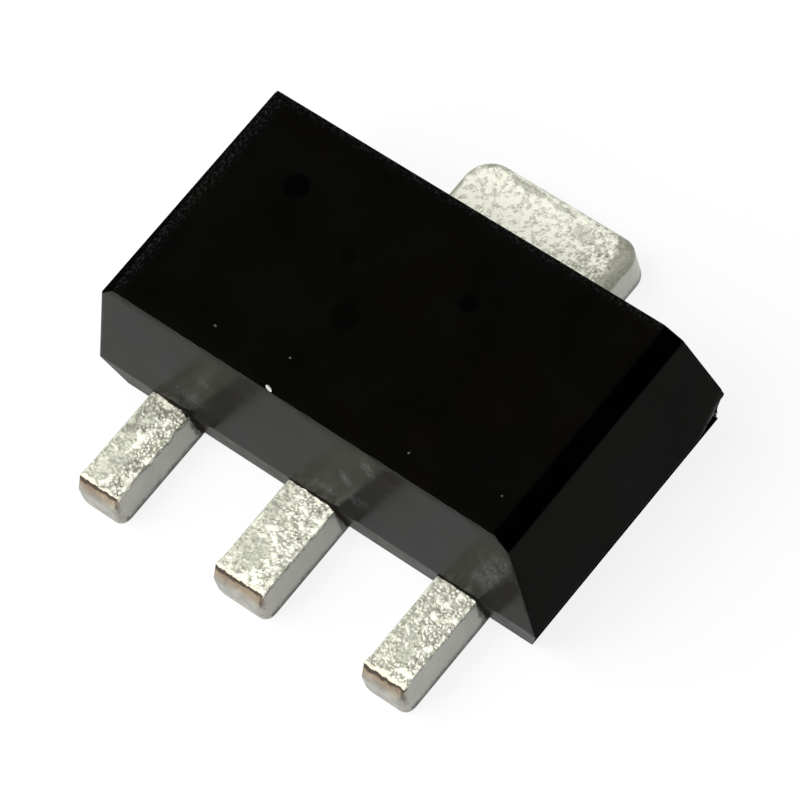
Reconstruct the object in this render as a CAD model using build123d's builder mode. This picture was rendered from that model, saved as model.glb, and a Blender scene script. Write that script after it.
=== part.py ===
"""Three-lead surface-mount voltage regulator in a flat moulded package with a heat tab.

Sizes are millimetres. The origin is on the seating plane, under the middle of the whole part.
+X runs along the moulded body, -Y points to the side of the three leads, +Y to the side of the
heat tab, and +Z is up, away from the circuit board.
"""
import os
from math import radians, tan

from build123d import *

# Moulded body, measured where it is widest, at the parting plane of its mould
body_length = 4.58
body_depth = 2.50
body_height = 1.50
end_draft = 11.0  # degrees, the short ends above the parting plane
front_draft = 9.8  # degrees, the lead side above the parting plane
back_draft = 7.7  # degrees, the tab side above the parting plane
end_undercut = 22.3  # degrees, the short ends below the parting plane
side_undercut = 7.3  # degrees, the long sides below the parting plane
end_bevel_width = 0.145  # the bevel along the top edge of each short end
end_bevel_height = 0.14
body_edge_radius = 0.03
gate_break_length = 0.16  # along the right-hand end, where the mould's gate was broken off
gate_break_rise = 0.16  # up that corner, from the parting plane

# Stamped copper frame: one flat strip, so the leads, the pad and the tab are equally thick
frame_thickness = 0.39
lead_pitch = 1.50
centre_lead_width = 0.49
outer_lead_width = 0.40
lead_projection = 0.985  # from the body's widest line to the lead tips
tip_corner_radius = 0.07
tip_setback = 0.075  # from the foremost line of a cropped tip back to its top edge
tip_slope_height = 0.17  # how far down the sloping cut face reaches
tab_width = 1.67
tab_projection = 0.73  # from the body's widest line to the end of the tab
tab_corner_radius = 0.24
tab_edge_roll = 0.04  # radius that blanking leaves on the upper edges of the tab

# The frame inside the body, where coined rims are raised off the seating plane to lock it in
lock_step = 0.15
lock_rim = 0.17
frame_gap = 0.20  # between the pad and the posts of the outer leads
pad_front_inset = 0.85  # from the body's widest line to the front of the pad's rim
pad_back_inset = 0.35  # from the body's widest line to the back of the pad's rim
pad_shoulder = 0.22  # bevel of the pad's front corners
post_inset = 0.24  # from the body's widest line to the front of the posts
post_width = 0.66

# Die and the layer that holds it on the pad
die_length = 1.10
die_depth = 0.86
die_thickness = 0.20
attach_thickness = 0.025
attach_margin = 0.03  # how far the layer squeezes out around the die

# Bond wires
wire_diameter = 0.05
wire_loop_height = 0.16  # from the top of the die to the wire's centre line
wire_level_share = 0.45  # share of the run that the wire crosses before it comes down
wire_bend_radius = 0.09
ball_diameter = 0.10
ball_height = 0.03
stitch_length = 0.14
stitch_width = 0.08
bond_inset = 0.13  # from the die's edge to the middle of a ball
landing_inset = 0.12  # from the inner edge of a post to the middle of a stitch

# Places along Y
overall_depth = lead_projection + body_depth + tab_projection
tip_y = -overall_depth / 2
tab_end_y = overall_depth / 2
body_front_y = tip_y + lead_projection
body_back_y = tab_end_y - tab_projection
pad_front_y = body_front_y + pad_front_inset
pad_back_y = body_back_y - pad_back_inset
post_front_y = body_front_y + post_inset
post_back_y = pad_front_y - frame_gap
die_y = (pad_front_y + pad_back_y) / 2

# Heights above the seating plane
parting_z = frame_thickness
bevel_z = body_height - end_bevel_height
attach_top_z = frame_thickness + attach_thickness
die_top_z = attach_top_z + die_thickness

FROM_FRONT = (Align.CENTER, Align.MIN)


def lean(angle, height):
    """Sideways distance that a face leaning by an angle in degrees covers over a height."""
    return height * tan(radians(angle))


def lead_bar(centre_x, width, back_y):
    """A straight lead from its cropped tip back to back_y."""
    with BuildPart() as bar:
        with BuildSketch(Plane.XY) as outline:
            with Locations((centre_x, tip_y)):
                Rectangle(width, back_y - tip_y, align=FROM_FRONT)
            fillet(outline.vertices().group_by(Axis.Y)[0], tip_corner_radius)
        extrude(amount=frame_thickness)
        # Cropping leaves a face that slopes outwards from the top edge of the tip.
        with BuildSketch(Plane.YZ.offset(centre_x)):
            with BuildLine():
                Polyline(
                    (tip_y, frame_thickness - tip_slope_height),
                    (tip_y + tip_setback, frame_thickness),
                    (tip_y, frame_thickness),
                    close=True,
                )
            make_face()
        extrude(amount=width / 2, both=True, mode=Mode.SUBTRACT)
    return bar.part


def outer_lead(side):
    """An outer lead with its bonding post, on the left for -1 or on the right for +1."""
    centre_x = side * lead_pitch
    with BuildPart() as lead:
        add(lead_bar(centre_x, outer_lead_width, post_front_y + lock_rim))
        with BuildSketch(Plane.XY.offset(lock_step)):
            with Locations((centre_x, post_front_y)):
                Rectangle(post_width, post_back_y - post_front_y, align=FROM_FRONT)
        extrude(amount=frame_thickness - lock_step)
    return lead.part


def bond_wire(ball_x, ball_y, stitch_x, stitch_y):
    """A bond wire from a ball on the die to a stitch on the copper frame."""
    ball_place = Vector(ball_x, ball_y)
    stitch_place = Vector(stitch_x, stitch_y)
    run = (stitch_place - ball_place).length
    along = (stitch_place - ball_place).normalized()
    wire_plane = Plane(origin=ball_place, x_dir=along, z_dir=along.cross(Vector(0, 0, 1)))
    lying_length = stitch_length / 2
    level_z = die_top_z + wire_loop_height
    lying_z = frame_thickness + wire_diameter / 2
    with BuildPart() as wire:
        with BuildLine(wire_plane) as route:
            FilletPolyline(
                (0, die_top_z),
                (0, level_z),
                (run * wire_level_share, level_z),
                (run - lying_length / 2, lying_z),
                (run + lying_length / 2, lying_z),
                radius=(wire_bend_radius, wire_bend_radius, wire_diameter),
            )
        with BuildSketch(Plane(origin=route.line @ 0, z_dir=route.line % 0)):
            Circle(wire_diameter / 2)
        sweep(path=route.line)
        with BuildSketch(Plane.XY.offset(die_top_z)):
            with Locations(ball_place):
                Circle(ball_diameter / 2)
        extrude(amount=ball_height)
        with BuildSketch(Plane(origin=stitch_place + Vector(0, 0, frame_thickness), x_dir=along)):
            SlotOverall(stitch_length, stitch_width)
        extrude(amount=wire_diameter / 2)
    return wire.part


# The heat tab, the die pad and the centre lead are one piece of the copper strip.
with BuildPart() as heat_tab_and_centre_lead:
    add(lead_bar(0, centre_lead_width, die_y))
    exposed_pad_y = pad_front_y + lock_rim
    with BuildSketch(Plane.XY) as exposed_outline:
        with Locations((0, exposed_pad_y)):
            Rectangle(tab_width, tab_end_y - exposed_pad_y, align=FROM_FRONT)
        chamfer(exposed_outline.vertices().group_by(Axis.Y)[0], pad_shoulder)
        fillet(exposed_outline.vertices().group_by(Axis.Y)[-1], tab_corner_radius)
    extrude(amount=frame_thickness)
    tab_rim = heat_tab_and_centre_lead.edges().group_by(Axis.Z)[-1]
    fillet(tab_rim.filter_by(lambda edge: edge.center().Y > exposed_pad_y + pad_shoulder), tab_edge_roll)
    with BuildSketch(Plane.XY.offset(lock_step)) as rim_outline:
        with Locations((0, pad_front_y)):
            Rectangle(tab_width + 2 * lock_rim, pad_back_y - pad_front_y, align=FROM_FRONT)
        chamfer(rim_outline.vertices().group_by(Axis.Y)[0], pad_shoulder)
    extrude(amount=frame_thickness - lock_step)

left_lead = outer_lead(-1)
right_lead = outer_lead(1)

with BuildPart() as die_attach:
    with BuildSketch(Plane.XY.offset(frame_thickness)):
        with Locations((0, die_y)):
            Rectangle(die_length + 2 * attach_margin, die_depth + 2 * attach_margin)
    extrude(amount=attach_thickness)

with BuildPart() as silicon_die:
    with BuildSketch(Plane.XY.offset(attach_top_z)):
        with Locations((0, die_y)):
            Rectangle(die_length, die_depth)
    extrude(amount=die_thickness)

# The signal wires leave the front corners of the die, and the ground wire its back edge.
signal_ball_x = die_length / 2 - bond_inset
signal_ball_y = die_y - die_depth / 2 + bond_inset
post_landing_x = lead_pitch - post_width / 2 + landing_inset
post_landing_y = (post_front_y + post_back_y) / 2
ground_ball_y = die_y + die_depth / 2 - bond_inset
ground_landing_y = (die_y + die_depth / 2 + body_back_y) / 2

left_bond_wire = bond_wire(-signal_ball_x, signal_ball_y, -post_landing_x, post_landing_y)
right_bond_wire = bond_wire(signal_ball_x, signal_ball_y, post_landing_x, post_landing_y)
ground_bond_wire = bond_wire(0, ground_ball_y, 0, ground_landing_y)

embedded_pieces = {
    "heat_tab_and_centre_lead": heat_tab_and_centre_lead.part,
    "left_lead": left_lead,
    "right_lead": right_lead,
    "die_attach": die_attach.part,
    "silicon_die": silicon_die.part,
    "left_bond_wire": left_bond_wire,
    "right_bond_wire": right_bond_wire,
    "ground_bond_wire": ground_bond_wire,
}

# The body is what its two side views have in common, moulded tightly around all it holds.
half_length = body_length / 2
base_half_length = half_length - lean(end_undercut, parting_z)
bevel_half_length = half_length - lean(end_draft, bevel_z - parting_z)
top_half_length = bevel_half_length - end_bevel_width
base_inset = lean(side_undercut, parting_z)
top_front_y = body_front_y + lean(front_draft, body_height - parting_z)
top_back_y = body_back_y - lean(back_draft, body_height - parting_z)

break_top = Vector(
    half_length - lean(end_draft, gate_break_rise),
    body_back_y - lean(back_draft, gate_break_rise),
    parting_z + gate_break_rise,
)
break_front = Vector(half_length, body_back_y - gate_break_length, parting_z)
break_foot = Vector(base_half_length, body_back_y - base_inset, 0)
gate_break_plane = Plane(
    origin=break_top,
    z_dir=(break_front - break_top).cross(break_foot - break_top),
)

with BuildPart() as moulded_body:
    with BuildSketch(Plane.XZ):
        with BuildLine():
            Polyline(
                (0, 0),
                (base_half_length, 0),
                (half_length, parting_z),
                (bevel_half_length, bevel_z),
                (top_half_length, body_height),
                (0, body_height),
            )
            mirror(about=Plane.YZ)
        make_face()
    extrude(amount=overall_depth, both=True)
    with BuildSketch(Plane.YZ):
        with BuildLine():
            Polyline(
                (body_front_y + base_inset, 0),
                (body_front_y, parting_z),
                (top_front_y, body_height),
                (top_back_y, body_height),
                (body_back_y, parting_z),
                (body_back_y - base_inset, 0),
                close=True,
            )
        make_face()
    extrude(amount=body_length, both=True, mode=Mode.INTERSECT)
    upper_edges = moulded_body.edges().filter_by(lambda edge: edge.center().Z > parting_z)
    fillet(upper_edges, body_edge_radius)
    # The gate took a flake off the right-hand corner beside the tab when it was broken off.
    split(bisect_by=gate_break_plane, keep=Keep.BOTTOM)
    for embedded in embedded_pieces.values():
        add(embedded, mode=Mode.SUBTRACT)

os.makedirs("parts", exist_ok=True)
for name, piece in {"moulded_body": moulded_body.part, **embedded_pieces}.items():
    piece.label = name
    export_step(piece, f"parts/{name}.step")
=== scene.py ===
"""Looks of a three-lead surface-mount voltage regulator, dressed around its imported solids.

Meshes are modelled in millimetres in the part's own frame and become metres when they are
finished. +X runs along the moulded body, -Y is the side of the leads, +Y the side of the heat
tab, and +Z is up, away from the circuit board.
"""
import logging
import math
from collections.abc import Callable, Iterable, Sequence
from dataclasses import dataclass, fields
from enum import IntEnum
from functools import cache

import bmesh
import bpy
from bmesh.types import BMEdge, BMesh, BMFace, BMVert
from bpy.types import NodeSocket, Object
from mathutils import Matrix, Vector, noise


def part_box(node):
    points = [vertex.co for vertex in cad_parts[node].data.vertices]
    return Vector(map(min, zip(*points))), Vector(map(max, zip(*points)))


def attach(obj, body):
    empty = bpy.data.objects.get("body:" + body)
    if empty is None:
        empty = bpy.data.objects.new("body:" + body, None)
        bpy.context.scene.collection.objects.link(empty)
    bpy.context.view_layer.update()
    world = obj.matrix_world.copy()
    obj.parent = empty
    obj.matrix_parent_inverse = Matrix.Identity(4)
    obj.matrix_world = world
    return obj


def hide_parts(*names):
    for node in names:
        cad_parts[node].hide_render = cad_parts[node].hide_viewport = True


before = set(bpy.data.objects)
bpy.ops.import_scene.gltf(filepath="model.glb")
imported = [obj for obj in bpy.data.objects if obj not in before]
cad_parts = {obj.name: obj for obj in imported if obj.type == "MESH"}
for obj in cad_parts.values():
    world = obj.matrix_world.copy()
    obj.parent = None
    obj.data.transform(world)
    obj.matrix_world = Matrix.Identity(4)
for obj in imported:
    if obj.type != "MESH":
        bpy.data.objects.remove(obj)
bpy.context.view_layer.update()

LOG = logging.getLogger("voltage_regulator")

MM = 0.001
NOISE_SEED = 3
SAME_PLACE = 1e-4
WELD = 1e-5
FACES_DOWN = -0.999
NOISE_CORE = (0.3, 0.7)
AXES = tuple(row.copy() for row in Matrix.Identity(3))
X_AXIS, Y_AXIS, Z_AXIS = AXES
Colour = tuple[float, float, float]
FaceTest = Callable[[BMFace], bool]
EdgeTest = Callable[[BMEdge], bool]


# --- Small tools ---


def smooth_step(value: float) -> float:
    """Ease a value between 0 and 1, held at both ends."""
    held = min(1.0, max(0.0, value))
    return held * held * (3.0 - 2.0 * held)


def ripple(x: float, y: float, z: float) -> float:
    """Smooth noise around 0 at a place, with features about one unit wide."""
    return noise.noise(Vector((x, y, z)))


def lean(angle: float, height: float) -> float:
    """Sideways distance that a face leaning by an angle in degrees covers over a height."""
    return height * math.tan(math.radians(angle))


@cache
def box_mm(node: str) -> tuple[Vector, Vector]:
    """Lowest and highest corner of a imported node, in millimetres."""
    low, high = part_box(node)
    return low / MM, high / MM


def cut_plane(
    bm: BMesh, place: Vector, normal: Vector, inside: FaceTest | None = None, clear_outer: bool = False
) -> list[BMEdge]:
    """Cut a mesh along a plane.

    Args:
        bm: The mesh to cut.
        place: A point on the plane.
        normal: The plane's normal, which points to its outer side.
        inside: Picks the faces that are cut, or None for all of them.
        clear_outer: Whether what lies on the outer side is removed.

    Returns:
        The edges that the cut made.
    """
    faces = [face for face in bm.faces if inside is None or inside(face)]
    edges = {edge for face in faces for edge in face.edges}
    verts = {vert for face in faces for vert in face.verts}
    cut = bmesh.ops.bisect_plane(
        bm,
        geom=[*verts, *edges, *faces],
        dist=WELD,
        plane_co=place,
        plane_no=normal,
        clear_outer=clear_outer,
    )
    return [part for part in cut["geom_cut"] if isinstance(part, BMEdge)]


def trim(bm: BMesh, place: Vector, normal: Vector) -> None:
    """Remove what lies beyond a plane and close the mesh there."""
    edges = cut_plane(bm, place, normal, clear_outer=True)
    bmesh.ops.holes_fill(bm, edges=edges)


def spread(low: float, high: float, spacing: float) -> list[float]:
    """Even places between two values, at most a spacing apart, without the ends."""
    count = max(1, math.ceil((high - low) / spacing))
    return [low + (high - low) * step / count for step in range(1, count)]


def refine(bm: BMesh, inside: FaceTest, spacing: float, cuts: int) -> None:
    """Divide part of a mesh into small faces that a relief can move.

    Args:
        bm: The mesh to divide.
        inside: Picks the faces that are divided.
        spacing: The distance between the first cuts.
        cuts: How many more times each edge is then cut.
    """
    corners = [vert.co for face in bm.faces if inside(face) for vert in face.verts]
    for axis, normal in enumerate(AXES):
        places = [corner[axis] for corner in corners]
        for place in spread(min(places), max(places), spacing):
            cut_plane(bm, normal * place, normal, inside)
    crowded = [face for face in bm.faces if inside(face) and len(face.verts) > 4]
    bmesh.ops.triangulate(bm, faces=crowded)
    edges = {edge for face in bm.faces if inside(face) for edge in face.edges}
    bmesh.ops.subdivide_edges(bm, edges=list(edges), cuts=cuts, use_grid_fill=True)


def block(low: Vector, high: Vector) -> BMesh:
    """A plain block between two corners, as the start of a shape."""
    bm = bmesh.new()
    bmesh.ops.create_cube(bm, size=1.0)
    bmesh.ops.scale(bm, vec=high - low, verts=bm.verts)
    bmesh.ops.translate(bm, vec=(high + low) / 2, verts=bm.verts)
    return bm


def round_edges(bm: BMesh, radius: float, segments: int, pick: EdgeTest) -> None:
    """Round, or with one segment chamfer, the edges that a test picks."""
    bmesh.ops.bevel(
        bm,
        geom=[edge for edge in bm.edges if pick(edge)],
        offset=radius,
        offset_type="OFFSET",
        segments=segments,
        profile=0.5,
        affect="EDGES",
        clamp_overlap=True,
        material=-1,
    )


def middle(edge: BMEdge) -> Vector:
    """The middle of an edge."""
    return (edge.verts[0].co + edge.verts[1].co) / 2


def round_upright(bm: BMesh, radius: float, segments: int, corner: Vector) -> None:
    """Round the upright edge that stands at a corner, which is given by its X and Y."""
    round_edges(bm, radius, segments, lambda edge: (middle(edge).xy - corner).length < SAME_PLACE)


def united(solids: Sequence[BMesh]) -> BMesh:
    """Join closed solids into one by union.

    Args:
        solids: The closed meshes, which are used up.

    Returns:
        One closed mesh.
    """
    objects = []
    for index, solid in enumerate(solids):
        mesh = bpy.data.meshes.new(f"union_{index}")
        solid.to_mesh(mesh)
        solid.free()
        piece = bpy.data.objects.new(mesh.name, mesh)
        bpy.context.scene.collection.objects.link(piece)
        objects.append(piece)
    for other in objects[1:]:
        modifier = objects[0].modifiers.new(other.name, "BOOLEAN")
        modifier.operation = "UNION"
        modifier.solver = "EXACT"
        modifier.object = other
    depsgraph = bpy.context.evaluated_depsgraph_get()
    whole = bmesh.new()
    whole.from_object(objects[0], depsgraph)
    for piece in objects:
        mesh = piece.data
        bpy.data.objects.remove(piece)
        bpy.data.meshes.remove(mesh)
    bmesh.ops.remove_doubles(whole, verts=whole.verts, dist=WELD)
    level = math.radians(0.1)
    bmesh.ops.dissolve_limit(whole, angle_limit=level, verts=whole.verts, edges=whole.edges)
    return whole


def finish_piece(
    name: str,
    bm: BMesh,
    finishes: Iterable["Finish"],
    stands_for: str | None = None,
    sharp_angle: float = 38.0,
) -> Object:
    """Turn a mesh in millimetres into a finished piece of the part.

    Args:
        name: The piece's name.
        bm: The mesh, which is used up.
        finishes: The finishes, in the order of the faces' material indices.
        stands_for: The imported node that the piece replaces, if it replaces one.
        sharp_angle: Edges that turn by more than this many degrees stay sharp.

    Returns:
        The piece's object.
    """
    bmesh.ops.scale(bm, vec=Vector((MM, MM, MM)), verts=bm.verts)
    bm.normal_update()
    for face in bm.faces:
        face.smooth = face.normal.z > FACES_DOWN
    mesh = bpy.data.meshes.new(name)
    bm.to_mesh(mesh)
    bm.free()
    for finish in finishes:
        mesh.materials.append(finish.material())
    mesh.set_sharp_from_angle(angle=math.radians(sharp_angle))
    piece = bpy.data.objects.new(name, mesh)
    bpy.context.scene.collection.objects.link(piece)
    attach(piece, "root")
    if stands_for:
        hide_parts(stands_for)
    triangles = sum(len(polygon.vertices) - 2 for polygon in mesh.polygons)
    LOG.info("%s: %d triangles", name, triangles)
    return piece


# --- Finishes ---


class Tree:
    """Adds nodes to a node tree and wires them."""

    def __init__(self, tree: bpy.types.NodeTree) -> None:
        """Take the tree that is written in."""
        self.tree = tree

    def feed(self, target: NodeSocket, value: object) -> None:
        """Link a socket to another, or set it to a number, a vector or a colour."""
        if isinstance(value, NodeSocket):
            self.tree.links.new(value, target)
        elif isinstance(value, tuple) and len(value) == 3 and target.type == "RGBA":
            target.default_value = (*value, 1.0)
        else:
            target.default_value = value

    def node(
        self, kind: str, inputs: dict[str | int, object] | None = None, **settings: object
    ) -> bpy.types.Node:
        """Add a node.

        Args:
            kind: Its type, without the word ShaderNode.
            inputs: A value or another node's socket for each input that is set.
            settings: Its own settings.

        Returns:
            The node.
        """
        made = self.tree.nodes.new(f"ShaderNode{kind}")
        for key, value in settings.items():
            setattr(made, key, value)
        for key, value in (inputs or {}).items():
            self.feed(made.inputs[key], value)
        return made

    def maths(self, operation: str, first: object, second: object) -> NodeSocket:
        """One sum on two values."""
        return self.node("Math", {0: first, 1: second}, operation=operation).outputs["Value"]


class Graph(Tree):
    """Writes the node tree of one material, in the part's own coordinates in metres."""

    def __init__(self, name: str) -> None:
        """Start a material with its Principled shader."""
        self.material = bpy.data.materials.new(name)
        self.material.use_nodes = True
        super().__init__(self.material.node_tree)
        self.shader = self.tree.nodes["Principled BSDF"]
        self.place = self.node("TexCoord").outputs["Object"]

    def stretched(self, share: tuple[float, float, float]) -> NodeSocket:
        """The part's coordinates, multiplied on each axis."""
        return self.node("Mapping", {"Vector": self.place, "Scale": share}).outputs["Vector"]

    def noise(
        self, size: float, detail: float = 2.0, roughness: float = 0.5, place: NodeSocket | None = None
    ) -> NodeSocket:
        """Soft noise from 0 to 1.

        Args:
            size: The size of its largest features, in millimetres.
            detail: How many finer octaves are added.
            roughness: How strong the finer octaves are.
            place: Other coordinates than the part's own.

        Returns:
            The socket with its value.
        """
        inputs = {
            "Vector": place or self.place,
            "Scale": 1.0 / (size * MM),
            "Detail": detail,
            "Roughness": roughness,
        }
        return self.node("TexNoise", inputs).outputs["Fac"]

    def distance(self, x: float, z: float, reach_x: float, reach_z: float) -> NodeSocket:
        """How far a point is from a place on the front, in shares of a reach in millimetres."""
        inputs = {
            "Vector": self.place,
            "Location": (-x / reach_x, 0.0, -z / reach_z),
            "Scale": (1.0 / (reach_x * MM), 0.0, 1.0 / (reach_z * MM)),
        }
        centred = self.node("Mapping", inputs).outputs["Vector"]
        return self.node("VectorMath", {0: centred}, operation="LENGTH").outputs["Value"]

    def attribute(self, name: str) -> NodeSocket:
        """A value kept at the piece's own points."""
        return self.node("Attribute", attribute_name=name).outputs["Fac"]

    def height(self) -> NodeSocket:
        """Height above the seating plane, in metres."""
        return self.node("SeparateXYZ", {"Vector": self.place}).outputs["Z"]

    def span(
        self, value: NodeSocket, low: float, high: float, to: tuple[float, float] = (0.0, 1.0)
    ) -> NodeSocket:
        """Stretch the part of a value between low and high over another range."""
        inputs = {"Value": value, "From Min": low, "From Max": high, "To Min": to[0], "To Max": to[1]}
        return self.node("MapRange", inputs).outputs["Result"]

    def vary(self, value: NodeSocket, low: float, high: float) -> NodeSocket:
        """Stretch the middle of a noise, where most of its values lie, from low to high."""
        return self.span(value, *NOISE_CORE, (low, high))

    def ramp(self, value: NodeSocket, stops: Sequence[tuple[float, Colour]]) -> NodeSocket:
        """A colour for each value, blended between stops."""
        made = self.node("ValToRGB", {"Fac": value})
        elements = made.color_ramp.elements
        while len(elements) < len(stops):
            elements.new(0.5)
        for element, (position, colour) in zip(elements, stops):
            element.position = position
            element.color = (*colour, 1.0)
        return made.outputs["Color"]

    def mix(self, share: object, first: object, second: object) -> NodeSocket:
        """Blend two colours by a share of the second."""
        inputs = {"Factor": share, 6: first, 7: second}
        return self.node("Mix", inputs, data_type="RGBA").outputs[2]

    def scaled(self, colour: object, share: object) -> NodeSocket:
        """A colour times a share."""
        return self.node("VectorMath", {0: colour, "Scale": share}, operation="SCALE").outputs["Vector"]

    def surface(
        self,
        colour: object,
        roughness: object,
        relief: Sequence[tuple[NodeSocket, float]],
        metallic: float = 0.0,
        gloss: float = 0.5,
    ) -> None:
        """Feed the Principled shader.

        Args:
            colour: Its base colour.
            roughness: Its roughness.
            relief: Layers of a value times a height in millimetres, which raise the surface.
            metallic: How metallic it is.
            gloss: How strongly it reflects at right angles.
        """
        values = {
            "Base Color": colour,
            "Roughness": roughness,
            "Metallic": metallic,
            "Specular IOR Level": gloss,
        }
        below: dict[str | int, object] = {}
        for value, height in relief:
            inputs = {"Height": value, "Strength": 1.0, "Distance": height * MM, **below}
            below = {"Normal": self.node("Bump", inputs).outputs["Normal"]}
        for name, value in {**values, **below}.items():
            self.feed(self.shader.inputs[name], value)


@dataclass(frozen=True)
class Finish:
    """A finish by its name, made once and shared by all that wear it."""

    name: str

    def material(self) -> bpy.types.Material:
        """The finish's material, written the first time that it is asked for."""
        kept = bpy.data.materials.get(self.name)
        if kept:
            return kept
        graph = Graph(self.name)
        self.write(graph)
        return graph.material

    def write(self, graph: Graph) -> None:
        """Write the finish's nodes."""
        raise NotImplementedError


@dataclass(frozen=True)
class PaintedLeadReflection:
    """A painted reflection of a lead's tin top in the glossy front face, drawn as a pale smear."""

    x: float
    z: float
    reach_x: float
    reach_z: float
    strength: float

    def write(self, graph: Graph) -> NodeSocket:
        """How strongly the painted reflection shows at a point, from 0 outside it to its strength inside."""
        ragged = graph.vary(graph.noise(size=0.12, detail=3.0), -0.5, 0.5)
        distance = graph.maths("ADD", graph.distance(self.x, self.z, self.reach_x, self.reach_z), ragged)
        return graph.span(distance, 1.4, 0.4, (0.0, self.strength))


# Painted reflections: each one sits where a lead's speckled tin top is mirrored in the front face, up and to
# the right of the lead.
FRONT_LEAD_REFLECTIONS = (
    PaintedLeadReflection(1.78, 0.74, 0.10, 0.12, 0.8),
    PaintedLeadReflection(1.90, 0.94, 0.10, 0.13, 0.8),
    PaintedLeadReflection(2.03, 1.12, 0.10, 0.10, 0.8),
    PaintedLeadReflection(0.41, 0.93, 0.06, 0.08, 0.9),
    PaintedLeadReflection(0.67, 1.25, 0.06, 0.11, 0.8),
    PaintedLeadReflection(0.20, 0.60, 0.12, 0.08, 0.6),
    PaintedLeadReflection(0.52, 0.70, 0.10, 0.09, 0.5),
    PaintedLeadReflection(-1.28, 0.65, 0.20, 0.09, 0.5),
    PaintedLeadReflection(-1.07, 0.98, 0.08, 0.08, 0.4),
)


@dataclass(frozen=True)
class Moulding(Finish):
    """Black moulding compound: a resin full of fine mineral grains."""

    tone: float = 0.004
    tint: Colour = (1.0, 0.88, 0.64)
    second_tint: Colour = (0.88, 0.92, 0.76)
    roughness: float = 0.5
    gloss: float = 0.1
    grain_size: float = 0.012
    grain_height: float = 0.0006
    pin_painted_dark: float = 0.12
    wear_and_reflection: float = 0.01
    wear_and_reflection_from: float = 0.5
    dust_and_reflection: Colour = (0.92, 0.95, 1.0)
    lead_reflections: tuple[PaintedLeadReflection, ...] = ()

    def write(self, graph: Graph) -> None:
        """Mottled black with fine grains, dusty rubbed edges, painted reflections of the leads on the front
        and pin marks painted darker.
        """
        fine = graph.noise(self.grain_size, detail=3.0)
        mottling = graph.vary(graph.noise(size=0.5, detail=5.0), 0.7, 1.3)
        mottling = graph.maths("MULTIPLY", mottling, graph.vary(fine, 0.75, 1.25))
        # Painted dark reflection: the pin marks are darkened in colour in place of the dark surround mirrored
        # in their polished floors.
        mark = graph.span(graph.attribute("pin"), 0.0, 1.0, (1.0, self.pin_painted_dark))
        tone = graph.maths("MULTIPLY", graph.maths("MULTIPLY", mottling, mark), self.tone)
        # Real rubbed edges and the painted lead reflections share the same pale dust colour.
        rubbed = graph.attribute("rubbed")
        for lead_reflection in self.lead_reflections:
            rubbed = graph.maths("MAXIMUM", rubbed, lead_reflection.write(graph))
        dust_and_reflection = graph.span(graph.noise(size=0.03, detail=4.0, roughness=0.7), self.wear_and_reflection_from, 0.72)
        dust_and_reflection = graph.maths("MULTIPLY", graph.maths("MULTIPLY", dust_and_reflection, rubbed), self.wear_and_reflection)
        drift = graph.span(graph.noise(size=0.9, detail=3.0), 0.4, 0.6)
        tint = graph.mix(drift, self.tint, self.second_tint)
        colour = graph.mix(dust_and_reflection, graph.scaled(tint, tone), self.dust_and_reflection)
        cloud = graph.noise(size=0.15, detail=4.0)
        roughness = graph.vary(cloud, self.roughness - 0.05, self.roughness + 0.05)
        relief = [(fine, self.grain_height), (graph.noise(size=0.3), self.grain_height * 2)]
        graph.surface(colour, roughness, relief, gloss=self.gloss)


@dataclass(frozen=True)
class PlatedTin(Finish):
    """Matte tin that grew in lumps on the stamped copper."""

    bright: Colour = (0.90, 0.90, 0.77)
    dull: Colour = (0.31, 0.32, 0.255)
    rubbed: Colour = (0.62, 0.62, 0.505)
    seam: Colour = (0.15, 0.15, 0.115)
    pit: Colour = (0.33, 0.33, 0.265)
    slope: Colour = (0.56, 0.56, 0.46)
    cream: Colour = (0.92, 0.85, 0.69)
    roughness: float = 0.45
    metallic: float = 0.3

    def write(self, graph: Graph) -> None:
        """Pale grains with grey seams, rubbed duller in patches and creamy at the cropped rim."""
        fine = graph.noise(size=0.014, detail=4.0, roughness=0.65)
        grain = graph.maths("ADD", graph.attribute("grain"), graph.vary(fine, -0.2, 0.2))
        # The colour follows the grains' height: the seams and pits are the tin's own grey, darkened further
        # as painted shade in the hollows.
        stops = [(0.0, self.seam), (0.3, self.pit), (0.6, self.slope), (0.9, self.bright)]
        tone = graph.ramp(grain, stops)
        patchy = graph.span(graph.noise(size=0.034, detail=4.0, roughness=0.7), 0.36, 0.62)
        worn = graph.mix(patchy, self.dull, self.rubbed)
        tone = graph.mix(graph.attribute("polish"), tone, worn)
        colour = graph.mix(graph.attribute("cream"), tone, self.cream)
        roughness = graph.vary(fine, self.roughness - 0.1, self.roughness + 0.15)
        graph.surface(colour, roughness, [(fine, 0.002)], self.metallic)


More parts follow.
